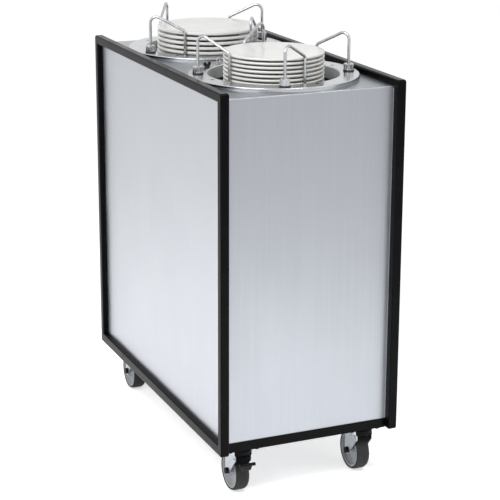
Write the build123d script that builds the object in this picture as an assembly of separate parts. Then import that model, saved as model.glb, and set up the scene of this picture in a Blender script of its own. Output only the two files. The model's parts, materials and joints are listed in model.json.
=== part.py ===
"""Mobile plate dispenser cart with two self-levelling plate tubes in an enclosed cabinet.

Frame: millimetres, +Z up, X across the cart, Y along it, the front end at -Y.
The origin is on the floor, under the middle of the cart.
"""

import os
from math import acos, atan2, cos, degrees, radians, sin

from build123d import *

# ---------------------------------------------------------------- driving dimensions, mm
CART_WIDTH = 470.0
CART_LENGTH = 900.0
FRAME_BOTTOM = 124.0            # caster height, floor to underside of the frame
RAIL_TOP = 1000.0
RAIL = 22.0                     # depth of every frame member, and height of the top rail
BOTTOM_RAIL = 26.0              # height of the bottom rail
RAIL_ROUND = 4.0                # radius along the long edges of the members
FRAME_WALL = 2.0                # the members are tubes
FRAME_CORNER = 7.0              # radius of the frame's outer corners, seen from the side
SIDE_RECESS = 15.0              # side panel behind the frame's outer face
END_RECESS = 23.5               # end panel behind the end of the frame
SHEET = 1.5
BEND = 4.0                      # outer radius where an end panel turns into the deck
DECK_TOP = 983.0
DECK_FLANGE = 20.0
BASE_RAIL_PROUD = 1.3           # base end rail in front of the end panel
BASE_RAIL_TOP = 148.0
BASE_RAIL_FLANGE = 22.0
BASE_RAIL_SHEET = 2.5

# one dispenser
RING_Y = 213.0                  # ring centres at y = -RING_Y and +RING_Y
RING_OUTER = 207.0
RING_INNER = 160.0
RING_HEIGHT = 11.0
RING_SHEET = 2.0
SKIRT_DEPTH = 30.0              # ring top down to the lower edge of its collar
RIM_GROOVE = (3.2, 1.0)         # round the ring's edge: height above the deck, then width and depth
RING_LIP_ROUND = (2.5, 3.0)     # outer and inner lip of the flange
HOLD_DOWN_HOLE = 4.5
HOLD_DOWN_R = 176.0
HOLD_DOWN_TURN = 27.0           # holes through the flange, degrees past each guide post
DECK_HOLE = 200.0
POST_R = 183.0                  # circle of the plate-guide pivots
GUIDE_ARM = 90.0                # guide pivot to its plate-side leg
GUIDE_WIRE = 3.75               # wire radius
GUIDE_RISE = 95.0               # top of the guide above the ring
GUIDE_SHOULDER = 57.0           # bend above the plate-side leg, over the ring
GUIDE_FIT = 0.05                # radial running clearance of the guide pivots
GUIDE_TAIL = 26.0               # pivot pin below the ring's top
GUIDE_GAP = 1.5                 # plate edge to guide wire
GUIDE_FOOT = 10.0               # pivot pin below the base plate's top
GUIDE_FLOOR_GAP = 0.75          # floor arm above the base plate
GUIDE_BENDS = (3.9, 10.0, 10.0, 16.0)   # inside the lower pin, floor, shoulder and top bends
GUIDE_TOP_CUT = 10.0            # what the round top takes off its sharp corner
FERRULE_R = 12.5
FERRULE_HEIGHT = 18.0
FERRULE_CHAMFER = 1.5
FLUTES = 10
FLUTE = 2.4
WASHER_R = 13.4
WASHER = 3.0
CAGE_FLOOR = 303.0              # top of the dispenser's base plate
CAGE_FLOOR_R = 196.0
CAGE_FLOOR_SHEET = 3.0
ROD_R = 184.0                   # circle of the hanger rods
ROD = 5.0                       # rod radius
ROD_END = 3.0                   # its turned-down end through the base plate
ROD_NUT = (11.0, 6.0)           # across flats, and depth
CAGE_FLOOR_HOLE = 30.0
ARM_TURN = 40.0                 # spider arms and rods, degrees past each guide post
SPRING_R = 150.0                # circle of the springs
SPRING = 6.0                    # coil outer radius
CARRIER_R = 108.0
CARRIER_SHEET = 3.0
CARRIER_RIM = 10.0
CARRIER_EDGE_ROUND = 2.5
STEM_LENGTH = 235.0             # carrier disc to spider
STEM = 17.0
STEM_WALL = 2.0
SPIDER_SHEET = 6.0
SPIDER_HUB = 30.0
SPIDER_ARM = 11.0               # half the width of an arm
SPIDER_EYE = 13.0               # bush round a rod
SPIDER_EYE_HALF = 15.0
PLATE_TOP_LEVEL = 1048.0        # rim of the top plate
EMPTY_LEVEL = 986.0             # carrier disc when the last plate is gone
SLIDE_STOP_GAP = 3.0
SCREW_R = 177.0                 # wing screw from the ring's centre
SCREW_TURN = 59.0               # degrees past the post that the clips go by
SCREW_FACING = 20.0
LOOP_R = 175.0
LOOP_TURN = 43.0
LOOP_FACING = 25.0
LOOP = 6.2                      # centre line radius of the lift loop
LOOP_WIRE = 1.4

# front ring, then rear ring: guide post angle, plate radius, stacking pitch, rim height, rim edge, plates;
# clips is the turn from the first post to the one that the wing screw and lift loop go by
STACKS = {
    "front": dict(side=-1, turn=-16.0, radius=122.0, pitch=10.0, rise=15.0, edge=6.5, count=12, clips=90.0),
    "rear": dict(side=1, turn=15.0, radius=133.0, pitch=12.5, rise=18.0, edge=8.0, count=9, clips=0.0),
}

# casters
WHEEL_R = 50.0
TYRE_HALF = 18.0
TREAD_HALF = 11.0               # flat of the tread, before its shoulders
HUB_R = 44.0
HUB_HALF = 18.6
HUB_RIM_HALF = 16.0
AXLE = 5.0
AXLE_HEAD = 15.0                # across flats
AXLE_NUT = 7.0
TRAIL = 25.0                    # swivel axis to axle
FORK_GAP = 39.0
FORK_SHEET = 2.5
CROWN_TOP = 108.0
CROWN_SHEET = 3.5
CROWN_REACH = (-27.0, 36.0)     # ahead of and behind the swivel axis
CHEEK_LOW = 94.0                # lower front corner of a side plate
AXLE_BOSS = 10.0
TURNING_RACE = 32.0
FIXED_RACE = 30.0
RACE_SPLIT = 117.7              # top of the turning race
RACE_GAP = 0.3
KINGPIN = 6.0
KINGPIN_HEAD = (9.0, 3.0)       # radius, and depth
CASTER_X = 163.0
FRONT_SWIVEL_Y = -390.0
REAR_SWIVEL_Y = 349.0
CASTER_PLATE = (90.0, 68.0, 4.0)
BOLT_PATTERN = (70.0, 48.0)
CHANNEL_SHEET = 2.5
BOLT = 4.0
BOLT_HOLE = 4.3
BOLT_BEYOND = 9.0               # thread above the channel's web
BOLT_HEAD = 13.0                # across flats
HEAD_DEPTH = 5.0
NUT_DEPTH = 6.5
PEDAL_PIVOT = (-20.0, 98.0)     # ahead of the swivel axis, and above the floor
PEDAL_PIN = 3.0
PEDAL_BARREL = 5.5
PEDAL_HALF = 12.0
PEDAL_TIP = (-51.0, 92.0)
PEDAL_TIP_R = 4.0
PEDAL_TIP_HALF = 20.0
BRAKE_TRAVEL = 10.0             # degrees
SHOE_ARC = (140.0, 150.0)       # the shoe's face, as degrees round the axle
SHOE_GAP = 0.8                  # its corners off the tyre at full travel
RUNNING_FIT = 0.05

# ---------------------------------------------------------------- worked out from the above
OUTER_X = CART_WIDTH / 2
INNER_X = OUTER_X - RAIL
END_Y = CART_LENGTH / 2
PANEL_Y = END_Y - END_RECESS
BASE_RAIL_Y = PANEL_Y + BASE_RAIL_PROUD
RING_TOP = DECK_TOP + RING_HEIGHT
QUARTERS = (0.0, 90.0, 180.0, 270.0)
CORNERS = {
    "front_left": (-CASTER_X, FRONT_SWIVEL_Y),
    "front_right": (CASTER_X, FRONT_SWIVEL_Y),
    "rear_left": (-CASTER_X, REAR_SWIVEL_Y),
    "rear_right": (CASTER_X, REAR_SWIVEL_Y),
}
BRAKED = ("front_left", "rear_right")

parts = {}


# ---------------------------------------------------------------- small helpers
def block(x, y, z):
    """A box between two values on each axis."""
    middle = [(low + high) / 2 for low, high in (x, y, z)]
    return Pos(*middle) * Box(*[high - low for low, high in (x, y, z)])


def upright(radius, low, high, at=(0.0, 0.0)):
    """A cylinder along Z between two heights."""
    return Pos(at[0], at[1], (low + high) / 2) * Cylinder(radius, high - low)


def crossways(radius, half, y, z):
    """A cylinder along X, centred on x = 0."""
    return Pos(0, y, z) * Rot(0, 90, 0) * Cylinder(radius, 2 * half)


def hexagon(across_flats, low, high, at):
    """A hexagonal head or nut along Z."""
    outline = RegularPolygon(across_flats / 2, 6, major_radius=False)
    return Pos(at[0], at[1], low) * extrude(outline, high - low)


def outline_face(points, rounds=None):
    """A flat face from corner points; rounds maps a corner's index to its radius."""
    face = make_face(Polyline(*points, close=True))
    for index, radius in (rounds or {}).items():
        corner = face.vertices().sort_by_distance((*points[index], 0))[0]
        face = fillet(corner, radius)
    return face


def turned(outline, rounds=None):
    """A solid of revolution about Z from (radius, height) points."""
    return revolve(Plane.XZ * outline_face(outline, rounds), Axis.Z)


def side_plate(outline, x):
    """A flat piece cut to (y, z) points, between two x values."""
    return Pos(x[0], 0, 0) * extrude(Plane.YZ * outline_face(outline), x[1] - x[0])


def polar(radius, angle, centre_y=0.0):
    """The (x, y) point at a radius and angle round a ring centre."""
    return radius * cos(radians(angle)), centre_y + radius * sin(radians(angle))


def group(solids):
    """Several separate solids in one node."""
    return Compound(children=list(solids))


# ---------------------------------------------------------------- cabinet
def side_frame():
    """Four mitred tubes round one long side, on the +X side: name to solid."""
    height = RAIL_TOP - FRAME_BOTTOM
    middle_z = (RAIL_TOP + FRAME_BOTTOM) / 2
    outline = Pos(0, middle_z) * RectangleRounded(CART_LENGTH, height, FRAME_CORNER)
    window_height = height - RAIL - BOTTOM_RAIL
    window_z = (RAIL_TOP - RAIL + FRAME_BOTTOM + BOTTOM_RAIL) / 2
    window = Pos(0, window_z) * Rectangle(CART_LENGTH - 2 * RAIL, window_height)
    ring = Pos(INNER_X, 0, 0) * extrude(Plane.YZ * (outline - window), RAIL)
    outer_face = ring.faces().sort_by(Axis.X)[-1]
    inner_face = ring.faces().sort_by(Axis.X)[0]
    ring = fillet(outer_face.edges() + inner_face.outer_wire().edges(), RAIL_ROUND)
    walls = 2 * FRAME_WALL
    core = Pos(0, middle_z) * RectangleRounded(CART_LENGTH - walls, height - walls, FRAME_CORNER - FRAME_WALL)
    core -= Pos(0, window_z) * Rectangle(CART_LENGTH - 2 * RAIL + walls, window_height + walls)
    ring -= Pos(INNER_X + FRAME_WALL, 0, 0) * extrude(Plane.YZ * core, RAIL - walls)

    outer = [(-END_Y, FRAME_BOTTOM), (END_Y, FRAME_BOTTOM), (END_Y, RAIL_TOP), (-END_Y, RAIL_TOP)]
    low, high = FRAME_BOTTOM + BOTTOM_RAIL, RAIL_TOP - RAIL
    inner_y = END_Y - RAIL
    inner = [(-inner_y, low), (inner_y, low), (inner_y, high), (-inner_y, high)]
    names = ("bottom_rail", "rear_post", "top_rail", "front_post")
    members = {}
    for i, name in enumerate(names):
        j = (i + 1) % 4
        wedge = side_plate([outer[i], outer[j], inner[j], inner[i]], (INNER_X, OUTER_X))
        members[name] = (ring & wedge).solids()[0]
    return members


def side_panel():
    """A shallow stainless tray that fills the frame's window, on the +X side."""
    face_x = OUTER_X - SIDE_RECESS
    half_y = END_Y - RAIL
    low, high = FRAME_BOTTOM + BOTTOM_RAIL, RAIL_TOP - RAIL
    tray = block((INNER_X, face_x), (-half_y, half_y), (low, high))
    inner_y = half_y - SHEET
    hollow = block((INNER_X, face_x - SHEET), (-inner_y, inner_y), (low + SHEET, high - SHEET))
    return tray - hollow


def end_panel():
    """The rear end sheet, bent over at the top to meet the deck."""
    high, low = DECK_TOP, BASE_RAIL_TOP
    outline = [
        (PANEL_Y, low), (PANEL_Y, high), (PANEL_Y - BEND, high),
        (PANEL_Y - BEND, high - SHEET), (PANEL_Y - SHEET, high - SHEET), (PANEL_Y - SHEET, low),
    ]
    face = outline_face(outline, {1: BEND, 4: BEND - SHEET})
    return Pos(-INNER_X, 0, 0) * extrude(Plane.YZ * face, 2 * INNER_X)


def deck():
    """The top sheet between the side frames: a hole for each dispenser and a flange along each side."""
    half_y = PANEL_Y - BEND
    sheet = block((-INNER_X, INNER_X), (-half_y, half_y), (DECK_TOP - SHEET, DECK_TOP))
    for side in (-1, 1):
        sheet -= upright(DECK_HOLE, DECK_TOP - SHEET, DECK_TOP, (0, side * RING_Y))
        flange_x = sorted((side * INNER_X, side * (INNER_X - SHEET)))
        sheet += block(flange_x, (-half_y, half_y), (DECK_TOP - DECK_FLANGE, DECK_TOP - SHEET))
    return sheet


def base_end_rail():
    """The black angle across the bottom of the rear end."""
    face = BASE_RAIL_Y
    back = face - BASE_RAIL_SHEET
    width = (-INNER_X, INNER_X)
    leg = block(width, (back, face), (FRAME_BOTTOM, BASE_RAIL_TOP))
    ledge = block(width, (face - BASE_RAIL_FLANGE, back), (BASE_RAIL_TOP - BASE_RAIL_SHEET, BASE_RAIL_TOP))
    return leg + ledge


def caster_channel(swivel_y):
    """The upturned channel that a pair of casters bolts to."""
    half = CASTER_PLATE[1] / 2
    inside = half - CHANNEL_SHEET
    low = FRAME_BOTTOM + CASTER_PLATE[2]
    high = BASE_RAIL_TOP - BASE_RAIL_SHEET
    width = (-INNER_X, INNER_X)
    channel = block(width, (swivel_y - half, swivel_y + half), (low, high))
    channel -= block(width, (swivel_y - inside, swivel_y + inside), (low + CHANNEL_SHEET, high))
    for side in (-1, 1):
        for hole in bolt_places((side * CASTER_X, swivel_y)):
            channel -= upright(BOLT_HOLE, low, high, hole)
    return channel


def build_cabinet():
    """Every fixed sheet and member of the cabinet."""
    for name, member in side_frame().items():
        parts["right_" + name] = member
        parts["left_" + name] = mirror(member, Plane.YZ)
    parts["right_side_panel"] = side_panel()
    parts["left_side_panel"] = mirror(side_panel(), Plane.YZ)
    parts["rear_end_panel"] = end_panel()
    parts["front_end_panel"] = mirror(end_panel(), Plane.XZ)
    parts["deck"] = deck()
    parts["base_end_rails"] = group([base_end_rail(), mirror(base_end_rail(), Plane.XZ)])
    pan_y = BASE_RAIL_Y - BASE_RAIL_FLANGE
    pan_low = BASE_RAIL_TOP - BASE_RAIL_SHEET
    parts["base_pan"] = block((-INNER_X, INNER_X), (-pan_y, pan_y), (pan_low, pan_low + SHEET))
    parts["caster_channels"] = group([caster_channel(FRONT_SWIVEL_Y), caster_channel(REAR_SWIVEL_Y)])


# ---------------------------------------------------------------- casters
def bolt_places(swivel):
    """The four bolt centres round a swivel axis."""
    half_x, half_y = BOLT_PATTERN[0] / 2, BOLT_PATTERN[1] / 2
    return [(swivel[0] + i * half_x, swivel[1] + j * half_y) for i in (-1, 1) for j in (-1, 1)]


def caster_plate():
    """The fixed top plate, its upper race and the kingpin that holds the fork."""
    width, length, thick = CASTER_PLATE
    top = FRAME_BOTTOM + thick
    plate = block((-width / 2, width / 2), (-length / 2, length / 2), (FRAME_BOTTOM, top))
    for hole in bolt_places((0, 0)):
        plate -= upright(BOLT_HOLE, FRAME_BOTTOM, top, hole)
    pin_low = CROWN_TOP - CROWN_SHEET - RACE_GAP
    head, head_depth = KINGPIN_HEAD
    plate += upright(FIXED_RACE, RACE_SPLIT + RACE_GAP, FRAME_BOTTOM)
    plate += upright(KINGPIN, pin_low, FRAME_BOTTOM)
    return plate + upright(head, pin_low - head_depth, pin_low)


def caster_bolt():
    """One mounting bolt with its nut, at the origin in x and y: two solids."""
    web_top = FRAME_BOTTOM + CASTER_PLATE[2] + CHANNEL_SHEET
    nut_top = web_top + NUT_DEPTH
    bolt = hexagon(BOLT_HEAD, FRAME_BOTTOM - HEAD_DEPTH, FRAME_BOTTOM, (0, 0))
    bolt += upright(BOLT, FRAME_BOTTOM, web_top + BOLT_BEYOND)
    return [bolt, hexagon(BOLT_HEAD, web_top, nut_top, (0, 0)) - upright(BOLT, web_top, nut_top)]


def fork(braked):
    """The turning race, the crown and two side plates that carry the axle and any brake pedal."""
    crown_low = CROWN_TOP - CROWN_SHEET
    gap, plate_x = FORK_GAP / 2, FORK_GAP / 2 + FORK_SHEET
    front, rear = CROWN_REACH
    cheek = [
        (front, CROWN_TOP), (rear, CROWN_TOP), (TRAIL + AXLE_BOSS, WHEEL_R),
        (TRAIL - 0.8 * AXLE_BOSS, WHEEL_R - 0.6 * AXLE_BOSS), (front, CHEEK_LOW),
    ]
    body = block((-plate_x, plate_x), CROWN_REACH, (crown_low, CROWN_TOP))
    for x in ((-plate_x, -gap), (gap, plate_x)):
        body += side_plate(cheek, x)
    boss = crossways(AXLE_BOSS, plate_x, TRAIL, WHEEL_R) - crossways(AXLE_BOSS, gap, TRAIL, WHEEL_R)
    body += boss + upright(TURNING_RACE, CROWN_TOP, RACE_SPLIT)
    body -= upright(KINGPIN + RUNNING_FIT, crown_low, RACE_SPLIT)
    body -= crossways(AXLE, plate_x, TRAIL, WHEEL_R)
    if braked:
        body -= crossways(PEDAL_PIN + RUNNING_FIT, plate_x, *PEDAL_PIVOT)
    return body


def axle():
    """The axle bolt and its lock nut: two solids."""
    plate_x = FORK_GAP / 2 + FORK_SHEET
    bolt = crossways(AXLE, plate_x + 0.65 * AXLE_NUT, TRAIL, WHEEL_R)
    across = Rot(0, 90, 0)
    head = Pos(-plate_x - HEAD_DEPTH, TRAIL, WHEEL_R) * across * hexagon(AXLE_HEAD, 0, HEAD_DEPTH, (0, 0))
    nut = Pos(plate_x, TRAIL, WHEEL_R) * across * hexagon(AXLE_HEAD, 0, AXLE_NUT, (0, 0))
    return [bolt + head, nut - bolt]


def wheel(outline, rounds=None):
    """A turned piece of the wheel, on the axle."""
    return Pos(0, TRAIL, WHEEL_R) * Rot(0, 90, 0) * turned(outline, rounds)


def hub():
    """Moulded wheel centre: boss, sunken web and rim, from (radius, half width) corners."""
    half = [
        (AXLE + RUNNING_FIT, HUB_HALF), (13.0, HUB_HALF), (15.0, 13.0), (36.0, 11.0),
        (38.0, HUB_RIM_HALF), (HUB_R, HUB_RIM_HALF),
    ]
    return wheel(half + [(r, -h) for r, h in reversed(half)])


def tyre():
    """Rubber tread bonded round the hub, with rounded shoulders."""
    half = [(HUB_R, HUB_RIM_HALF), (WHEEL_R - 3.0, TYRE_HALF), (WHEEL_R, TREAD_HALF)]
    outline = half + [(r, -h) for r, h in reversed(half)]
    return wheel(outline, {1: 1.5, 2: 8.0, 3: 8.0, 4: 1.5})


def shoe_face():
    """The two corners of the shoe's face: turned by the brake's travel, they stand just off the tyre."""
    reach = WHEEL_R + SHOE_GAP
    corners = []
    for angle in SHOE_ARC:
        y, z = polar(reach, angle)
        y, z = y + TRAIL - PEDAL_PIVOT[0], z + WHEEL_R - PEDAL_PIVOT[1]
        back = radians(-BRAKE_TRAVEL)
        turned_y, turned_z = y * cos(back) - z * sin(back), y * sin(back) + z * cos(back)
        corners.append((PEDAL_PIVOT[0] + turned_y, PEDAL_PIVOT[1] + turned_z))
    return corners


def pedal():
    """Brake lever: pivot barrel and pins, shoe towards the tyre, and a foot bar on a raised arm."""
    across = (-PEDAL_HALF, PEDAL_HALF)
    upper, lower = shoe_face()
    shoe = [(-26, 98), (-15, 98), (upper[0], upper[1] + 3), upper, lower, (-30, 74), (-30, 86)]
    arm = [(-29, 87), (-29, 74), (-42, 73), (-46, 78), (-53, 90), (-48.5, 93), (-41, 86)]
    lever = side_plate(shoe, across) + side_plate(arm, across)
    lever += crossways(PEDAL_BARREL, FORK_GAP / 2 - 1, *PEDAL_PIVOT)
    lever += crossways(PEDAL_PIN, FORK_GAP / 2 + FORK_SHEET, *PEDAL_PIVOT)
    return lever + crossways(PEDAL_TIP_R, PEDAL_TIP_HALF, *PEDAL_TIP)


def build_casters():
    """Four swivel casters; two of them have a brake."""
    places = list(CORNERS.values())
    parts["caster_plates"] = group([Pos(x, y, 0) * caster_plate() for x, y in places])
    bolt_centres = [hole for place in places for hole in bolt_places(place)]
    parts["caster_bolts"] = group([Pos(x, y, 0) * solid for x, y in bolt_centres for solid in caster_bolt()])
    for corner, (x, y) in CORNERS.items():
        place = Pos(x, y, 0)
        parts[corner + "_fork"] = place * fork(corner in BRAKED)
        parts[corner + "_axle"] = group([place * solid for solid in axle()])
        parts[corner + "_hub"] = place * hub()
        parts[corner + "_tyre"] = place * tyre()
        if corner in BRAKED:
            parts[corner + "_brake_pedal"] = place * pedal()


# ---------------------------------------------------------------- dispensers
def ring(post_turn):
    """The dispenser's top ring: a hollow spun flange with a grooved rim, a collar, spring tabs and holes."""
    groove_low, groove = RIM_GROOVE
    collar_low = RING_HEIGHT - SKIRT_DEPTH
    collar_out = RING_INNER + RING_SHEET
    under = RING_HEIGHT - RING_SHEET
    outline = [
        (RING_OUTER, 0), (RING_OUTER, groove_low), (RING_OUTER - groove, groove_low),
        (RING_OUTER - groove, groove_low + groove), (RING_OUTER, groove_low + groove),
        (RING_OUTER, RING_HEIGHT), (RING_INNER, RING_HEIGHT), (RING_INNER, collar_low),
        (collar_out, collar_low), (collar_out, under),
        (RING_OUTER - RING_SHEET, under), (RING_OUTER - RING_SHEET, 0),
    ]
    body = turned(outline, {5: RING_LIP_ROUND[0], 6: RING_LIP_ROUND[1]})
    tab_reach = (SPRING_R - SPRING, RING_INNER + RING_SHEET / 2)
    tab = block(tab_reach, (-SPRING, SPRING), (collar_low, collar_low + RING_SHEET))
    for quarter in QUARTERS:
        post = post_turn + quarter
        body += Rot(0, 0, post + ARM_TURN) * tab
        body -= upright(GUIDE_WIRE + GUIDE_FIT, 0, RING_HEIGHT, polar(POST_R, post))
        body -= upright(HOLD_DOWN_HOLE, 0, RING_HEIGHT, polar(HOLD_DOWN_R, post + HOLD_DOWN_TURN))
    return Pos(0, 0, DECK_TOP) * body


def ferrule():
    """Fluted bush round a guide pivot, on a washer on the ring's top."""
    body = upright(FERRULE_R, WASHER, FERRULE_HEIGHT)
    body = chamfer(body.faces().sort_by(Axis.Z)[-1].edges(), FERRULE_CHAMFER)
    for i in range(FLUTES):
        flute = polar(FERRULE_R + FLUTE / 2, 360.0 * i / FLUTES)
        body -= upright(FLUTE, WASHER, FERRULE_HEIGHT, flute)
    body += upright(WASHER_R, 0, WASHER)
    return body - upright(GUIDE_WIRE + GUIDE_FIT, 0, FERRULE_HEIGHT)


def cage_floor(post_turn):
    """The dispenser's base plate, with pivot holes, rod holes and a middle hole."""
    low = CAGE_FLOOR - CAGE_FLOOR_SHEET
    floor = upright(CAGE_FLOOR_R, low, CAGE_FLOOR) - upright(CAGE_FLOOR_HOLE, low, CAGE_FLOOR)
    for quarter in QUARTERS:
        post = post_turn + quarter
        floor -= upright(GUIDE_WIRE + GUIDE_FIT, low, CAGE_FLOOR, polar(POST_R, post))
        floor -= upright(ROD_END, low, CAGE_FLOOR, polar(ROD_R, post + ARM_TURN))
    return floor


def hanger_rod():
    """One shouldered rod from the ring to the base plate, with its nut, at the origin in x and y."""
    low = CAGE_FLOOR - CAGE_FLOOR_SHEET
    flats, depth = ROD_NUT
    rod = upright(ROD, CAGE_FLOOR, RING_TOP - RING_SHEET) + upright(ROD_END, low, CAGE_FLOOR)
    return rod + hexagon(flats, low - depth, low, (0, 0))


def guide_offset(leg_radius):
    """Degrees, round the ring, from a guide's pivot to its plate-side leg."""
    cosine = (POST_R**2 + leg_radius**2 - GUIDE_ARM**2) / (2 * POST_R * leg_radius)
    return degrees(acos(cosine))


def guide(pivot, leg):
    """One bent-wire guide: lower pin, floor arm, plate-side leg, sloping shoulder, round top, upper pin."""
    arm_z = CAGE_FLOOR + GUIDE_FLOOR_GAP + GUIDE_WIRE
    shoulder_z = RING_TOP + GUIDE_SHOULDER
    top_z = RING_TOP + GUIDE_RISE - GUIDE_WIRE + GUIDE_TOP_CUT
    points = [
        (0, CAGE_FLOOR - GUIDE_FOOT), (0, arm_z), (GUIDE_ARM, arm_z),
        (GUIDE_ARM, shoulder_z), (0, top_z), (0, RING_TOP - GUIDE_TAIL),
    ]
    turn = atan2(leg[1] - pivot[1], leg[0] - pivot[0])
    along = (cos(turn), sin(turn), 0)
    plane = Plane(origin=(*pivot, 0), x_dir=along, z_dir=(along[1], -along[0], 0))
    path = plane * FilletPolyline(*points, radius=list(GUIDE_BENDS))
    section = Plane(path @ 0, z_dir=path % 0) * Circle(GUIDE_WIRE)
    return sweep(section, path=path)


def plate(stack):
    """One round plate: foot ring, flat well and a gently sloping rim with a rolled edge."""
    radius, pitch, rise, edge = stack["radius"], stack["pitch"], stack["rise"], stack["edge"]
    base = 0.4 * pitch
    well, shoulder = 0.66 * radius, 0.71 * radius
    outline = [
        (0, base), (0.55 * radius, base), (0.56 * radius, 0), (0.60 * radius, 0),
        (0.63 * radius, 0.5 * pitch),
        (radius - 5, rise - edge), (radius, rise - edge + 0.6), (radius, rise),
        (radius - 6, rise - 0.6), (shoulder, pitch + 1.2), (well, pitch), (0, pitch),
    ]
    return turned(outline, {6: 2.4, 7: 2.4, 9: 8.0})


def stack_floor(stack):
    """Height of the carrier disc under a stack."""
    return PLATE_TOP_LEVEL - (stack["count"] - 1) * stack["pitch"] - stack["rise"]


def carrier(disc_top):
    """The disc under the plates, with a turned-down rim, on its stem."""
    inner = CARRIER_R - CARRIER_SHEET
    outline = [
        (0, 0), (CARRIER_R, 0), (CARRIER_R, -CARRIER_RIM), (inner, -CARRIER_RIM),
        (inner, -CARRIER_SHEET), (0, -CARRIER_SHEET),
    ]
    disc = Pos(0, 0, disc_top) * turned(outline, {1: CARRIER_EDGE_ROUND})
    high = disc_top - CARRIER_SHEET
    low = high - STEM_LENGTH
    return disc + (upright(STEM, low, high) - upright(STEM - STEM_WALL, low, high))


def spider(top, post_turn):
    """Four arms from the stem to bushes that run on the hanger rods; the springs pull on the arms."""
    low, middle = top - SPIDER_SHEET, top - SPIDER_SHEET / 2
    eye_low, eye_high = middle - SPIDER_EYE_HALF, middle + SPIDER_EYE_HALF
    body = upright(SPIDER_HUB, low, top)
    rods = [post_turn + quarter + ARM_TURN for quarter in QUARTERS]
    for turn in rods:
        body += Rot(0, 0, turn) * block((0, ROD_R), (-SPIDER_ARM, SPIDER_ARM), (low, top))
        body += upright(SPIDER_EYE, eye_low, eye_high, polar(ROD_R, turn))
    for turn in rods:
        body -= upright(ROD + RUNNING_FIT, eye_low, eye_high, polar(ROD_R, turn))
    return body


def spring_body(low, post_turn):
    """The four springs' outer shapes, from the ring's tabs to the spider's arms."""
    high = RING_TOP - SKIRT_DEPTH
    return [upright(SPRING, low, high, polar(SPRING_R, post_turn + q + ARM_TURN)) for q in QUARTERS]


def wing_screw():
    """Black wing-headed screw that holds the ring to the deck, on the ring's top."""
    collar, neck, neck_top = 6.5, 4.5, 7.0
    wing_out, wing_up, wing_thick, lean = 7.0, 7.0, 3.2, 25.0
    body = upright(collar, 0, 2.5) + upright(neck, 2.5, neck_top)
    wing = Rot(90, 0, 0) * extrude(Ellipse(4.2, 5.0), wing_thick / 2, both=True)
    for side in (-1, 1):
        body += Pos(side * wing_out, 0, wing_up) * Rot(0, side * lean, 0) * wing
    return body


def wire_loop():
    """Standing wire loop for lifting the dispenser out, on a small stud."""
    stud, stud_top = 3.0, 3.2
    loop = Rot(90, 0, 0) * Torus(LOOP, LOOP_WIRE)
    return Pos(0, 0, stud_top + LOOP - LOOP_WIRE / 4) * loop + upright(stud, 0, stud_top)


def build_dispensers():
    """Two drop-in plate tubes."""
    ferrules, rods, screws, loops = [], [], [], []
    for name, stack in STACKS.items():
        centre_y = stack["side"] * RING_Y
        turn = stack["turn"]
        place = Pos(0, centre_y, 0)
        disc_top = stack_floor(stack)
        arm_top = disc_top - CARRIER_SHEET - STEM_LENGTH
        parts[name + "_ring"] = place * ring(turn)
        parts[name + "_cage_floor"] = place * cage_floor(turn)
        parts[name + "_carrier"] = place * carrier(disc_top)
        parts[name + "_spider"] = place * spider(arm_top, turn)
        parts[name + "_springs"] = group([place * solid for solid in spring_body(arm_top, turn)])
        levels = [disc_top + i * stack["pitch"] for i in range(stack["count"])]
        parts[name + "_plates"] = group([Pos(0, centre_y, z) * plate(stack) for z in levels])
        leg_radius = stack["radius"] + GUIDE_GAP + GUIDE_WIRE
        for i, quarter in enumerate(QUARTERS, start=1):
            pivot = polar(POST_R, turn + quarter, centre_y)
            leg = polar(leg_radius, turn + quarter + guide_offset(leg_radius), centre_y)
            parts[f"{name}_guide_{i}"] = guide(pivot, leg)
            ferrules.append(Pos(*pivot, RING_TOP) * ferrule())
            rods.append(Pos(*polar(ROD_R, turn + quarter + ARM_TURN, centre_y), 0) * hanger_rod())
        clips = turn + stack["clips"]
        screw_place = Pos(*polar(SCREW_R, clips + SCREW_TURN, centre_y), RING_TOP)
        loop_place = Pos(*polar(LOOP_R, clips + LOOP_TURN, centre_y), RING_TOP)
        screws.append(screw_place * Rot(0, 0, SCREW_FACING) * wing_screw())
        loops.append(loop_place * Rot(0, 0, LOOP_FACING) * wire_loop())
    parts["guide_ferrules"] = group(ferrules)
    parts["hanger_rods"] = group(rods)
    parts["hold_down_wing_screws"] = group(screws)
    parts["lift_loops"] = group(loops)


def print_travel():
    """Prints what the joints need: carrier travel, guide pivots and how far each guide may open."""
    for name, stack in STACKS.items():
        disc_top = stack_floor(stack)
        eye_low = disc_top - CARRIER_SHEET - STEM_LENGTH - SPIDER_SHEET / 2 - SPIDER_EYE_HALF
        arm_top = CAGE_FLOOR + GUIDE_FLOOR_GAP + 2 * GUIDE_WIRE
        print(name, "carrier up", EMPTY_LEVEL - disc_top, "down", eye_low - arm_top - SLIDE_STOP_GAP)
        rest = stack["radius"] + GUIDE_GAP + GUIDE_WIRE
        open_radius = RING_INNER - GUIDE_WIRE - 2.0
        swing = []
        for radius in (rest, open_radius):
            cosine = (POST_R**2 + GUIDE_ARM**2 - radius**2) / (2 * POST_R * GUIDE_ARM)
            swing.append(degrees(acos(cosine)))
        print(name, "guide opens by", round(swing[1] - swing[0], 2), "degrees")
        for i, quarter in enumerate(QUARTERS, start=1):
            print(name, "guide", i, "pivot", polar(POST_R, stack["turn"] + quarter, stack["side"] * RING_Y))


build_cabinet()
build_casters()
build_dispensers()
print_travel()

os.makedirs("parts", exist_ok=True)
for node, shape in parts.items():
    export_step(shape, f"parts/{node}.step")
print(len(parts), "nodes")
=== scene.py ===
"""Mobile plate dispenser cart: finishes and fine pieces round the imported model.

Metres, +Z up, X across the cart, Y along it, the front end at -Y and the floor at z = 0.
"""

import json
from math import cos, pi, radians, sin

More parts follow.
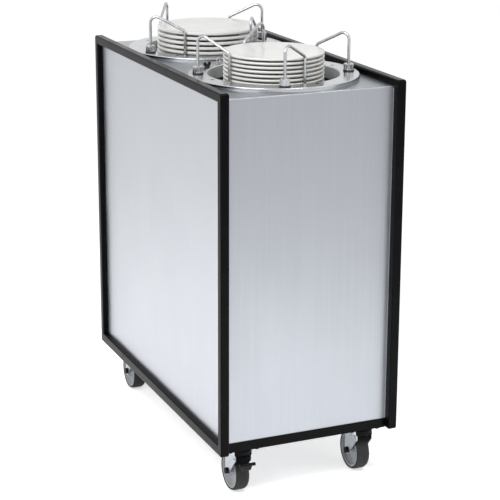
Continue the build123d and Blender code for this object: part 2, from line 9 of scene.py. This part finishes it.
import bpy
import numpy as np
from mathutils import Euler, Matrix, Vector


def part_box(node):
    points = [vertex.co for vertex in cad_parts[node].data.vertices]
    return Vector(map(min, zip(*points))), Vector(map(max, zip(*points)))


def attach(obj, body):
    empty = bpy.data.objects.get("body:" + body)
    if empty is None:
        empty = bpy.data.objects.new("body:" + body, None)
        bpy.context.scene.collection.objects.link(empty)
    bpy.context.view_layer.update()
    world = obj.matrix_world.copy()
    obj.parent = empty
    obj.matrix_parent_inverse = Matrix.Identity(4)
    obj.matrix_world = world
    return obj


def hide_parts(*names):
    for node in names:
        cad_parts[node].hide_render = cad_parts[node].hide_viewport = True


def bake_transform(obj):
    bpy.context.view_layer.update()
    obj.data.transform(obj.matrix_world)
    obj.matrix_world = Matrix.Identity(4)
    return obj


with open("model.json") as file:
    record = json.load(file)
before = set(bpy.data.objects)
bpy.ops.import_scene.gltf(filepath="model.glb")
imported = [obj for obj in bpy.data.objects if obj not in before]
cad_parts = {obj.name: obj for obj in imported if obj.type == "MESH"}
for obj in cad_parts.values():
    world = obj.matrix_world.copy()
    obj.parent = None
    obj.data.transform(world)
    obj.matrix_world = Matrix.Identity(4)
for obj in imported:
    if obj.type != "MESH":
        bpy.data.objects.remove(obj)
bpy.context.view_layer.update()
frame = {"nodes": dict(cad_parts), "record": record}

MM = 0.001

# ---------------------------------------------------------------- camera, as the photograph was taken
CAMERA_PLACE = (-1.590, -3.756, 1.704)
CAMERA_TURN = 23.35             # degrees from +Y towards +X
CAMERA_TILT = -15.71            # degrees above the horizon
CAMERA_ROLL = 0.22
CAMERA_LENS, SENSOR = 117.6, 36.0       # focal length and width of the sensor, mm
CAMERA_SHIFT = -0.05            # of the frame's width, a part of the photograph's own shift
CAMERA_REACH = (0.05, 100.0)    # nearest and farthest that it sees

# ---------------------------------------------------------------- light
ROOM_LIGHT = 0.5                # the pale room's strength as light; where it is seen it is 1, white
FLOOR_HALF = 30.0               # half of the floor's side
FLOOR_GLOW = 0.565              # added to the lit floor where it is seen, so that it looks white
# each lamp's place, what it points at, its side, watts, and the spread of its beam in degrees;
# brushed steel mirrors the floor, so the two floor lamps make the panels paler towards their feet
LAMPS = {
    "key_lamp": ((-2.6, -1.8, 3.4), (0, 0, 0.6), 2.4, 105, 180),
    "fill_lamp": ((2.8, -3.0, 2.4), (0, 0, 0.6), 2.0, 14, 180),
    "front_floor_lamp": ((0.45, -1.6, 3.0), (0.2, -1.2, 0), 0.8, 7.5, 50),
    "side_floor_lamp": ((-1.5, 0.9, 3.0), (-1.0, 0.8, 0), 1.0, 3.5, 60),
}

# ---------------------------------------------------------------- places on the cart, metres
RING_Y = 0.213
DISPENSERS = {"front": -RING_Y, "rear": RING_Y}         # where each one's centre is, in y
POST_TURNS = {"front": -16.0, "rear": 15.0}             # degrees from +X to the first guide post
CORNERS = ("front_left", "front_right", "rear_left", "rear_right")
COLLAR_OUT = 162.5 * MM         # outside of a ring's collar
WASHER_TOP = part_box("front_ring")[1].z + 3.1 * MM       # just above the washers under the ferrules
CROWN_FROM = 103.5 * MM         # the crown of a fork, drawn black as painted shade, is all above this
CHEEK_IN = 21.9 * MM            # and all inside the faces of its cheeks, from the fork's middle

# plates: radius, stacking pitch, rim height, depth of the rim's edge, and how many
PLATES = {
    "front": dict(radius=122 * MM, pitch=10 * MM, rise=15 * MM, edge=6.5 * MM, count=12),
    "rear": dict(radius=133 * MM, pitch=12.5 * MM, rise=18 * MM, edge=8 * MM, count=9),
}
PLATE_SLIP = 0.5 * MM           # how far out of true a plate may lie in its stack
PLATE_DRAW = 7                  # seed for the slips
PLATE_STEP, PLATE_ARC = 20 * MM, 4      # longest stretch of its outline, and points to a rounded corner

TURN_STEPS = 96                 # points round a turned piece

# one half of each wheel piece's outline: distance from the axle, place across, corner radius, mm
TYRE_HALF = [(44, -16, 0.5), (47, -18, 1.5), (50, -11, 8.0)]
HUB_HALF = [(5.1, -18.6, 0.0), (13, -18.6, 1.2), (15, -13, 2.0), (36, -11, 2.0), (38, -16, 1.2),
            (43.9, -16, 0.0)]
WHEEL_STEP, WHEEL_ARC = 2.5 * MM, 7      # as for the plates
WEB_IN, WEB_OUT = 15 * MM, 36 * MM      # the hub's web, from its boss to its rim
WEB_FACE = 14 * MM              # the web's faces are nearer to the wheel's middle than this
POCKETS = 6                     # shallow pockets on each face of the web
POCKET_DEPTH = 2.2 * MM

# coil springs
SPRING_R = 0.150                # circle of the springs in each dispenser
SPRING_TURN = 40.0              # springs, degrees past each guide post
COIL_R = 5.0 * MM               # to the middle of the wire
COIL_WIRE = 0.95 * MM           # wire radius
COIL_TURNS = 62
COIL_STEPS = 12                 # points to a turn
COIL_SIDES = 6                  # sides of the wire
HOOK = 0.15                     # of the coil's radius, at the tip of each end


# ---------------------------------------------------------------- material helpers
def linear(hex_colour):
    """An sRGB colour written as six hex digits, turned to linear RGBA."""
    shades = np.array([int(hex_colour[i:i + 2], 16) for i in (0, 2, 4)]) / 255
    shades = np.where(shades <= 0.04045, shades / 12.92, ((shades + 0.055) / 1.055) ** 2.4)
    return (*shades, 1.0)


def add(tree, kind, inputs=None, to=None, **settings):
    """Adds one node. Settings go on it, each input gets a value or a link, and it may feed a socket."""
    node = tree.nodes.new("ShaderNode" + kind)
    for name, value in settings.items():
        setattr(node, name, value)
    for place, value in (inputs or {}).items():
        if isinstance(value, bpy.types.NodeSocket):
            tree.links.new(value, node.inputs[place])
        else:
            node.inputs[place].default_value = value
    if to is not None:
        tree.links.new(node.outputs[0], to)
    return node


def new_material(name, **sockets):
    """A material with one Principled shader whose constants sit on its own sockets."""
    material = bpy.data.materials.new(name)
    material.use_nodes = True
    shader = material.node_tree.nodes["Principled BSDF"]
    for socket, value in sockets.items():
        shader.inputs[socket.replace("_", " ")].default_value = value
    return material, material.node_tree, shader


def grains(tree, size, kind="TexNoise", **inputs):
    """A pattern on the piece's own coordinates, with grains size (x, y, z) metres across."""
    place = add(tree, "TexCoord").outputs["Object"]
    scaled = add(tree, "Mapping", {"Vector": place, "Scale": [1 / s for s in size]})
    return add(tree, kind, {"Vector": scaled.outputs[0], "Scale": 1.0, **inputs})


def even_grains(tree, size, detail):
    """Noise whose grains are as wide every way, as its value."""
    return grains(tree, (size, size, size), Detail=detail).outputs[0]


NOISE = (0.3, 0.7)              # most of a noise lies between these
WHOLE = (0.0, 1.0)              # a crystal's own value lies anywhere between these


def lay_finish(tree, shader, shades, tone, roughness, skin, strength, depth, wear=(),
               tone_spread=NOISE, wear_spread=NOISE):
    """Lays a finish on a shader, from patterns.

    The colour runs from one shade to the other as tone crosses its spread. Each (pattern, least, most)
    of wear is added to the roughness, between its least and its most as the pattern crosses its spread.
    The skin is a pattern of heights, pressed in at a strength and to a depth in metres.
    """
    share = {"Value": tone, "From Min": tone_spread[0], "From Max": tone_spread[1]}
    share = add(tree, "MapRange", share).outputs[0]
    mixed = add(tree, "Mix", {0: share, 6: linear(shades[0]), 7: linear(shades[1])}, data_type="RGBA")
    tree.links.new(mixed.outputs[2], shader.inputs["Base Color"])
    shader.inputs["Roughness"].default_value = roughness
    for pattern, least, most in wear:
        worn = {"Value": pattern, "From Min": wear_spread[0], "From Max": wear_spread[1],
                "To Min": least, "To Max": most}
        worn = add(tree, "MapRange", worn).outputs[0]
        # each sum takes the place of the one before it on the socket
        total = add(tree, "Math", {0: roughness, 1: worn}, to=shader.inputs["Roughness"])
        roughness = total.outputs[0]
    relief = {"Height": skin, "Strength": strength, "Distance": depth}
    add(tree, "Bump", relief, to=shader.inputs["Normal"])


# ---------------------------------------------------------------- finishes
def brushed_stainless(name, grain, shades, roughness):
    """304 stainless sheet with a No. 4 finish: belt-ground in one direction.

    To the eye: fine parallel hairlines, a soft glow stretched across them, and faint wider streaks.
    The hairlines are really 0.1 mm apart and are drawn 0.5 mm apart, so that they show.
    """
    hair, streak, cloud = 0.5 * MM, 4 * MM, 150 * MM
    hair_length, streak_length = 120 * MM, 420 * MM
    uneven = 0.03
    material, tree, shader = new_material(name, Metallic=1.0, Anisotropic=0.55)
    hairs = grains(tree, [hair_length if g else hair for g in grain], Detail=3.0).outputs[0]
    streaks = grains(tree, [streak_length if g else streak for g in grain], Detail=2.0).outputs[0]
    clouds = even_grains(tree, cloud, 2.0)
    both = add(tree, "Math", {0: hairs, 1: streaks}, operation="ADD").outputs[0]
    lay_finish(tree, shader, shades, both, roughness, skin=hairs, strength=0.2, depth=0.03 * MM,
               wear=((hairs, -uneven, uneven), (clouds, -uneven, uneven)), tone_spread=(0.5, 1.5))
    along = "Z" if grain[2] else "Y"
    add(tree, "Tangent", to=shader.inputs["Tangent"], direction_type="RADIAL", axis=along)
    return material


def turned_stainless():
    """Spun stainless ring, polished on the lathe.

    To the eye: brighter than the sheet, with hairlines that run round the ring.
    The hairlines are really finer than 0.2 mm and are drawn 0.8 mm apart, so that they show.
    """
    line, cloud = 0.8 * MM, 60 * MM
    material, tree, shader = new_material("turned_stainless_ring", Metallic=1.0)
    split = add(tree, "SeparateXYZ", {0: add(tree, "TexCoord").outputs["Object"]})
    beside = add(tree, "Math", {0: split.outputs[1]}, operation="ABSOLUTE").outputs[0]
    beside = add(tree, "Math", {0: beside, 1: RING_Y}, operation="SUBTRACT").outputs[0]
    flat = add(tree, "CombineXYZ", {0: split.outputs[0], 1: beside}).outputs[0]
    # how far out a point is from the middle of the nearer ring
    out = add(tree, "VectorMath", {0: flat}, operation="LENGTH").outputs["Value"]
    round_lines = {"W": out, "Scale": 1 / line, "Detail": 3.0}
    lines = add(tree, "TexNoise", round_lines, noise_dimensions="1D").outputs[0]
    clouds = even_grains(tree, cloud, 2.0)
    lay_finish(tree, shader, ("b2b4b6", "c6c8ca"), lines, 0.205, skin=lines, strength=0.25, depth=0.04 * MM,
               wear=((lines, -0.05, 0.05), (clouds, -0.035, 0.035)))
    return material


def powder_coat(name, shades, roughness, peel):
    """Polyester powder coat baked on metal.

    To the eye: deep black with a soft sheen, a fine orange peel, and a breath of dust in patches.
    """
    patch = 70 * MM
    material, tree, shader = new_material(name, IOR=1.5, Specular_IOR_Level=0.06)
    patches = even_grains(tree, patch, 5.0)
    skin = even_grains(tree, peel, 1.0)
    lay_finish(tree, shader, shades, patches, roughness, skin, strength=0.3, depth=0.08 * MM,
               wear=((patches, -0.04, 0.08),), tone_spread=(0.45, 0.8))
    return material


def galvanised_sheet():
    """Hot-dip galvanised steel for the parts inside and underneath.

    To the eye: dull grey with a patchwork of zinc crystals about 9 mm across.
    """
    crystal, fine = 9 * MM, 2 * MM
    material, tree, shader = new_material("galvanised_steel", Metallic=1.0)
    cells = grains(tree, (crystal, crystal, crystal), "TexVoronoi").outputs["Color"]
    own = add(tree, "SeparateColor", {0: cells}).outputs
    skin = even_grains(tree, fine, 2.0)
    lay_finish(tree, shader, ("94989b", "b7babc"), own[0], 0.34, skin, strength=0.2, depth=0.05 * MM,
               wear=((own[1], 0.0, 0.18),), tone_spread=WHOLE, wear_spread=WHOLE)
    return material


def smooth_metal(name, shades, roughness):
    """Small plated or drawn metal parts.

    To the eye: an even skin, a little duller in blotches.
    """
    blotch, grain = 14 * MM, 0.7 * MM
    material, tree, shader = new_material(name, Metallic=1.0)
    blotches = even_grains(tree, blotch, 3.0)
    skin = even_grains(tree, grain, 2.0)
    lay_finish(tree, shader, shades, blotches, roughness, skin, strength=0.15, depth=0.03 * MM,
               wear=((blotches, -0.04, 0.07),))
    return material


def glazed_china():
    """Vitrified hotel china under a clear glaze.

    To the eye: warm white, wet gloss, and a glaze that ripples very slightly.
    """
    cloud, ripple = 45 * MM, 16 * MM
    material, tree, shader = new_material("glazed_china", IOR=1.52)
    tones = even_grains(tree, cloud, 2.0)
    ripples = even_grains(tree, ripple, 1.0)
    lay_finish(tree, shader, ("e2e2de", "e9e9e6"), tones, 0.22, ripples, strength=0.25, depth=0.12 * MM)
    return material


def moulded(name, shades, roughness, grain=0.9 * MM):
    """Moulded plastic or rubber.

    To the eye: one even colour, a fine eggshell grain from the tool, and slightly rubbed patches.
    The grain is really about 0.2 mm and is drawn coarser, so that it shows.
    """
    patch = 22 * MM
    material, tree, shader = new_material(name, IOR=1.5)
    rubbed = even_grains(tree, patch, 4.0)
    skin = even_grains(tree, grain, 1.0)
    lay_finish(tree, shader, shades, rubbed, roughness, skin, strength=0.35, depth=0.06 * MM,
               wear=((rubbed, -0.05, 0.08),))
    return material


UP_GRAIN, LONG_GRAIN = (0, 0, 1), (0, 1, 0)
FINISHES = {
    # frame tubes: near black, with a low sheen along the rounded edges
    "black_frame": powder_coat("black_powder_coat", ("070709", "0d0d0f"), 0.22, 1.6 * MM),
    # side sheets: pale, cool, and softly bright towards the floor that they mirror
    "brushed_panel": brushed_stainless("brushed_stainless_panel", UP_GRAIN, ("bdc0c6", "c5c8cd"), 0.36),
    # end sheets: the same steel as the sides, drawn darker as painted shade, and a little duller
    "painted_shade_end_sheet": brushed_stainless("brushed_stainless_painted_shade_end_sheet", UP_GRAIN, ("9fa2a8", "a7aab0"), 0.4),
    # deck: the same steel drawn darker again, painted shade for the dark rails that it mirrors; its
    # hairlines along the cart
    "deck_steel": brushed_stainless("brushed_stainless_deck_painted_shade", LONG_GRAIN, ("9a9ea4", "aaaeb4"), 0.33),
    "ring_steel": turned_stainless(),
    "inner_steel": galvanised_sheet(),
    # springs: brown-black wire with a thin oily gleam
    "spring_steel": smooth_metal("oil_tempered_spring_wire", ("4b4946", "63605c"), 0.34),
    "china": glazed_china(),
    # guides: pale wire with a bright line along it
    "guide_wire": smooth_metal("drawn_stainless_wire", ("aeb0b3", "c2c4c7"), 0.24),
    # ferrules: bright on the flutes' crests, dark between them
    "ferrule_steel": smooth_metal("machined_stainless", ("b4b6b9", "cacccf"), 0.26),
    # forks and plates: bluish, soft and bright
    "caster_zinc": smooth_metal("bright_zinc_plate", ("9fa5ac", "bcc1c7"), 0.3),
    # pedals and axle bolts: flat black paint; the fork crowns drawn in it are painted shade
    "caster_black": powder_coat("black_caster_paint_and_crown_shade", ("0e0e10", "19191b"), 0.4, 1.2 * MM),
    # hubs: plain mid grey
    "hub_grey": moulded("grey_moulded_hub", ("8e9194", "a0a3a6"), 0.5),
    # tyres: charcoal, nearly without a sheen
    "tyre_rubber": moulded("grey_black_tread_rubber", ("0e0e10", "161618"), 0.78, 1.4 * MM),
    # wing screws and washers: black with a dull gleam
    "black_plastic": moulded("black_moulded_nylon", ("0f0f10", "1a1a1b"), 0.42),
    # the rings' collars, which the polishing doesn't reach: dull, and drawn paler than the ring's steel as
    # painted light for the white plates that they mirror
    "dull_collar_with_painted_light": smooth_metal("pickled_stainless_collar_with_painted_light", ("d2d3d4", "dedfe0"), 0.75),
}


def finish_solids():
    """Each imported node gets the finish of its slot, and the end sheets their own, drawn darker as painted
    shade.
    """
    for row in frame["record"]["subparts"]:
        carried = frame["nodes"][row["node"]].data.materials
        carried.clear()
        # painted shade: the end sheets take the sides' steel drawn darker
        slot = "painted_shade_end_sheet" if row["node"].endswith("end_panel") else row["material_slot"]
        carried.append(FINISHES[slot])


def second_finish(node, slot, chosen):
    """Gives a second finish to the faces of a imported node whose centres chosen(x, y, z) picks."""
    mesh = frame["nodes"][node].data
    centres = np.empty(3 * len(mesh.polygons))
    mesh.polygons.foreach_get("center", centres)
    mesh.materials.append(FINISHES[slot])
    places = np.where(chosen(*centres.reshape(-1, 3).T), len(mesh.materials) - 1, 0)
    mesh.polygons.foreach_set("material_index", places.astype(np.int32))


def finish_small_parts():
    """The rings' dull collars, drawn paler as painted light, the black washers, and the fork crowns, drawn
    black as painted shade.
    """
    for dispenser, centre_y in DISPENSERS.items():
        # painted light: the collars take a paler steel than the ring's own
        second_finish(dispenser + "_ring", "dull_collar_with_painted_light",
                      lambda x, y, z: np.hypot(x, y - centre_y) < COLLAR_OUT)
    second_finish("guide_ferrules", "black_plastic", lambda x, y, z: z < WASHER_TOP)
    for corner in CORNERS:
        # painted shade: each fork's crown, zinc like its cheeks, is drawn black
        low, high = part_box(corner + "_fork")
        middle = (low.x + high.x) / 2
        second_finish(corner + "_fork", "caster_black",
                      lambda x, y, z: (z > CROWN_FROM) & (abs(x - middle) < CHEEK_IN))


# ---------------------------------------------------------------- new pieces
def grid_quads(rows, columns, ring=False):
    """Faces over a grid of points that closes on itself along its columns; as a ring, its rows do too."""
    count = rows if ring else rows - 1
    first = np.arange(count * columns).reshape(count, columns)
    beside = np.roll(first, -1, axis=1)
    quads = np.stack([first, beside, beside + columns, first + columns], axis=-1)
    return [list(quad) for quad in (quads % (rows * columns)).reshape(-1, 4)]


def capped(rows, columns):
    """The faces of a grid, and one face over each of its two open ends."""
    ends = [list(range(columns))[::-1], list(range((rows - 1) * columns, rows * columns))]
    return grid_quads(rows, columns) + ends


def repeated(points, faces, places):
    """Copies of one mesh, moved to several places: all the points and all the faces."""
    all_points = [points + place for place in places]
    all_faces = [[corner + copy * len(points) for corner in face]
                 for copy in range(len(places)) for face in faces]
    return np.concatenate(all_points), all_faces


def new_piece(name, points, faces, slot, replaced):
    """A smooth-shaded mesh object at the origin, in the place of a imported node."""
    mesh = bpy.data.meshes.new(name)
    mesh.from_pydata(points.tolist(), [], faces)
    mesh.polygons.foreach_set("use_smooth", np.ones(len(mesh.polygons), dtype=bool))
    mesh.materials.append(FINISHES[slot])
    piece = bpy.data.objects.new(name, mesh)
    bpy.context.scene.collection.objects.link(piece)
    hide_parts(replaced)
    return piece


def unit(vectors):
    """Each row of an array of vectors, at a length of one."""
    return vectors / np.linalg.norm(vectors, axis=-1, keepdims=True)


def tube(path, radius, sides):
    """A round tube along an (n, 3) path: points and faces.

    Each ring is centre + radius (side cos a + up sin a), where side is square to the path and to the
    vertical, and up is square to both. Both ends are closed by one face.
    """
    along = unit(np.gradient(path, axis=0))
    side = unit(np.cross(along, (0.0, 0.0, 1.0)))
    up = np.cross(side, along)
    turn = np.linspace(0, 2 * pi, sides, endpoint=False)[:, None]
    rings = path[:, None] + radius * (side[:, None] * np.cos(turn) + up[:, None] * np.sin(turn))
    return rings.reshape(-1, 3), capped(len(path), sides)


def rounded_outline(corners, step, arc, closed=False):
    """An outline through corners (u, v, radius), in points that are no more than step apart.

    A corner is rounded from radius x tan(half the turn) before it to as far past it, by the quadratic
    curve that heads for the corner, a little fuller than a circle. The curve has arc points.
    """
    corners = np.array(corners, dtype=float)
    places, radii = corners[:, :2], corners[:, 2]
    before = unit(places - np.roll(places, 1, axis=0))
    after = np.roll(before, -1, axis=0)
    bend = np.arccos(np.clip((before * after).sum(axis=1), -1, 1))
    reach = (radii * np.tan(bend / 2))[:, None]
    start, stop = places - before * reach, places + after * reach
    t = np.linspace(0, 1, arc)[None, :, None]
    curves = (1 - t) ** 2 * start[:, None] + 2 * t * (1 - t) * places[:, None] + t ** 2 * stop[:, None]
    points = curves.reshape(-1, 2)
    if closed:
        points = np.vstack([points, points[:1]])
    lengths = np.linalg.norm(np.diff(points, axis=0), axis=1)
    run = np.concatenate([[0], np.cumsum(lengths)])
    stops = np.unique(np.concatenate([run, np.arange(0, run[-1], step)]).round(7))
    outline = np.stack([np.interp(stops, run, points[:, axis]) for axis in (0, 1)], axis=1)
    return outline[:-1] if closed else outline


def turned_shape(outline):
    """A grid (rows, steps, 3): each outline point (r, z) swept round Z as (r cos a, r sin a, z)."""
    angle = np.linspace(0, 2 * pi, TURN_STEPS, endpoint=False)
    radius, height = outline[:, 0:1], outline[:, 1:2]
    return np.stack([radius * np.cos(angle), radius * np.sin(angle), height + 0 * angle], axis=2)


def plate_outline(radius, pitch, rise, edge):
    """One plate's outline, from the middle of its underside, round the rim, to the middle of its well.

    Each corner is (r, z, corner radius). The flat discs in the middle are left to the end faces.
    """
    middle, well, slope = 0.30 * radius, 0.60 * radius, 0.71 * radius
    foot = [share * radius for share in (0.55, 0.56, 0.60, 0.63)]
    under, dip = 0.4 * pitch, 0.6 * MM
    corners = [
        # underside of the well, and the foot ring
        (middle, under, 0), (foot[0], under, 1 * MM), (foot[1], 0, 1 * MM),
        (foot[2], 0, 1 * MM), (foot[3], 0.5 * pitch, 3 * MM),
        # underside and edge of the rim
        (radius - 5 * MM, rise - edge, 2 * MM), (radius, rise - edge + dip, 2.4 * MM),
        (radius, rise, 2.4 * MM),
        # top of the rim, its slope, and the well
        (radius - 6 * MM, rise - dip, 2 * MM), (slope, pitch + 2 * dip, 20 * MM),
        (well, pitch, 20 * MM), (middle, pitch, 0),
    ]
    return rounded_outline(corners, PLATE_STEP, PLATE_ARC)


def china_plates(dispenser, centre_y):
    """A stack of plates: one turned shape at every low + level x pitch, each a little out of true."""
    plate = dict(PLATES[dispenser])
    count = plate.pop("count")
    grid = turned_shape(plate_outline(**plate))
    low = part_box(dispenser + "_plates")[0].z
    slips = np.random.default_rng(PLATE_DRAW).uniform(-PLATE_SLIP, PLATE_SLIP, (count, 2))
    places = [(x, centre_y + y, low + level * plate["pitch"]) for level, (x, y) in enumerate(slips)]
    points, faces = repeated(grid.reshape(-1, 3), capped(*grid.shape[:2]), places)
    stack = new_piece(dispenser + "_china_plates", points, faces, "china", dispenser + "_plates")
    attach(stack, dispenser + "_lift")


def wheel_shape(half):
    """One half of an outline (r, across) with its mirror image, swept round the axle."""
    mirrored = [(out, -across, radius) for out, across, radius in reversed(half)]
    outline = rounded_outline(np.array(half + mirrored) * MM, WHEEL_STEP, WHEEL_ARC, closed=True)
    return turned_shape(outline)


def press_pockets(grid):
    """Presses the pockets into both faces of the hub's web.

    They are depth x sin^2(pockets a / 2) sin(pi u) deep, where a is the angle round the axle and u
    runs from 0 to 1 over the web.
    """
    x, y, across = np.moveaxis(grid, 2, 0)
    u = np.clip((np.hypot(x, y) - WEB_IN) / (WEB_OUT - WEB_IN), 0, 1)
    depth = POCKET_DEPTH * np.sin(POCKETS / 2 * np.arctan2(y, x)) ** 2 * np.sin(pi * u)
    grid[..., 2] -= np.sign(across) * (abs(across) < WEB_FACE) * depth


def wheel_piece(name, corner, part, grid, slot):
    """A turned piece laid on a wheel's axle, with its axis along X: (x, y, z) goes to (z, x, y)."""
    low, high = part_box(f"{corner}_{part}")
    points = grid[..., [2, 0, 1]].reshape(-1, 3) + np.array((low + high) / 2)
    faces = grid_quads(*grid.shape[:2], ring=True)
    piece = new_piece(f"{corner}_{name}", points, faces, slot, f"{corner}_{part}")
    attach(piece, corner + "_wheel")


def wheels():
    """The four casters' rubber tyres and moulded hubs."""
    tyre, hub = wheel_shape(TYRE_HALF), wheel_shape(HUB_HALF)
    press_pockets(hub)
    for corner in CORNERS:
        wheel_piece("rubber_tyre", corner, "tyre", tyre, "tyre_rubber")
        wheel_piece("moulded_hub", corner, "hub", hub, "hub_grey")


def coil_springs(dispenser, centre_y):
    """Four tension springs, close-wound from a spider arm up to the ring's collar.

    Each is a tube along the helix (r cos t, r sin t, z), with z growing evenly in t; r eases in
    towards the axis over the last turn at each end, as a drawn-in hook does.
    """
    low, high = (corner.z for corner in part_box(dispenser + "_springs"))
    t = np.linspace(0, 2 * pi * COIL_TURNS, COIL_TURNS * COIL_STEPS + 1)
    r = COIL_R * np.clip(np.minimum(t, t[-1] - t) / (2 * pi), HOOK, 1.0)
    z = np.linspace(low + COIL_WIRE, high - COIL_WIRE, len(t))
    points, faces = tube(np.stack([r * np.cos(t), r * np.sin(t), z], axis=1), COIL_WIRE, COIL_SIDES)
    places = []
    for quarter in range(4):
        angle = radians(POST_TURNS[dispenser] + 90 * quarter + SPRING_TURN)
        places.append((SPRING_R * cos(angle), centre_y + SPRING_R * sin(angle), 0.0))
    points, faces = repeated(points, faces, places)
    coils = new_piece(dispenser + "_coil_springs", points, faces, "spring_steel", dispenser + "_springs")
    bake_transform(coils)


# ---------------------------------------------------------------- stage, light and camera
def seen_rays(tree):
    """1 on rays from the camera, off a shiny face or through glass, and 0 on the rest."""
    rays = add(tree, "LightPath").outputs
    mirror = {0: rays["Is Glossy Ray"], 1: rays["Is Transmission Ray"]}
    mirror = add(tree, "Math", mirror, operation="MAXIMUM").outputs[0]
    return add(tree, "Math", {0: rays["Is Camera Ray"], 1: mirror}, operation="MAXIMUM").outputs[0]


def build_stage():
    """A plain pale floor that takes shadows and looks near white."""
    mesh = bpy.data.meshes.new("floor")
    corners = [(x * FLOOR_HALF, y * FLOOR_HALF, 0) for x, y in ((-1, -1), (1, -1), (1, 1), (-1, 1))]
    mesh.from_pydata(corners, [], [(0, 1, 2, 3)])
    floor = bpy.data.objects.new("floor", mesh)
    bpy.context.scene.collection.objects.link(floor)
    # matt studio paper: white with no gloss, so that nothing but the shadow shows on it
    material, tree, shader = new_material("pale_floor", Roughness=0.9, Specular_IOR_Level=0.0)
    shader.inputs["Base Color"].default_value = linear("f0f0f0")
    shader.inputs["Emission Color"].default_value = linear("ffffff")
    glow = {0: seen_rays(tree), 1: FLOOR_GLOW}
    add(tree, "Math", glow, to=shader.inputs["Emission Strength"], operation="MULTIPLY")
    mesh.materials.append(material)


def build_room():
    """The even light of a pale room, which is white where it is seen."""
    world = bpy.data.worlds.new("pale_room")
    world.use_nodes = True
    bpy.context.scene.world = world
    tree = world.node_tree
    back = tree.nodes["Background"]
    back.inputs["Color"].default_value = linear("ffffff")
    light = {"Value": seen_rays(tree), "To Min": ROOM_LIGHT, "To Max": 1.0}
    add(tree, "MapRange", light, to=back.inputs["Strength"])


def build_lamps():
    """The square studio lamps, each turned to what it points at."""
    for name, (place, aim, side, power, spread) in LAMPS.items():
        lamp = bpy.data.lights.new(name, "AREA")
        lamp.shape, lamp.size, lamp.energy, lamp.spread = "SQUARE", side, power, radians(spread)
        hung = bpy.data.objects.new(name, lamp)
        hung.location = place
        hung.rotation_euler = (Vector(aim) - Vector(place)).to_track_quat("-Z", "Y").to_euler()
        bpy.context.scene.collection.objects.link(hung)


def build_camera():
    """The photograph's viewpoint."""
    lens = bpy.data.cameras.new("camera")
    lens.sensor_width, lens.lens, lens.shift_y = SENSOR, CAMERA_LENS, CAMERA_SHIFT
    lens.clip_start, lens.clip_end = CAMERA_REACH
    camera = bpy.data.objects.new("camera", lens)
    camera.location = CAMERA_PLACE
    facing = Euler((radians(90 + CAMERA_TILT), 0, radians(-CAMERA_TURN))).to_matrix()
    roll = Euler((0, 0, radians(CAMERA_ROLL))).to_matrix()
    camera.rotation_euler = (facing @ roll).to_euler()
    bpy.context.scene.collection.objects.link(camera)
    bpy.context.scene.camera = camera


finish_solids()
finish_small_parts()
for dispenser, centre_y in DISPENSERS.items():
    china_plates(dispenser, centre_y)
    coil_springs(dispenser, centre_y)
wheels()
build_stage()
build_room()
build_lamps()
build_camera()
bpy.context.scene.view_settings.view_transform = "Standard"
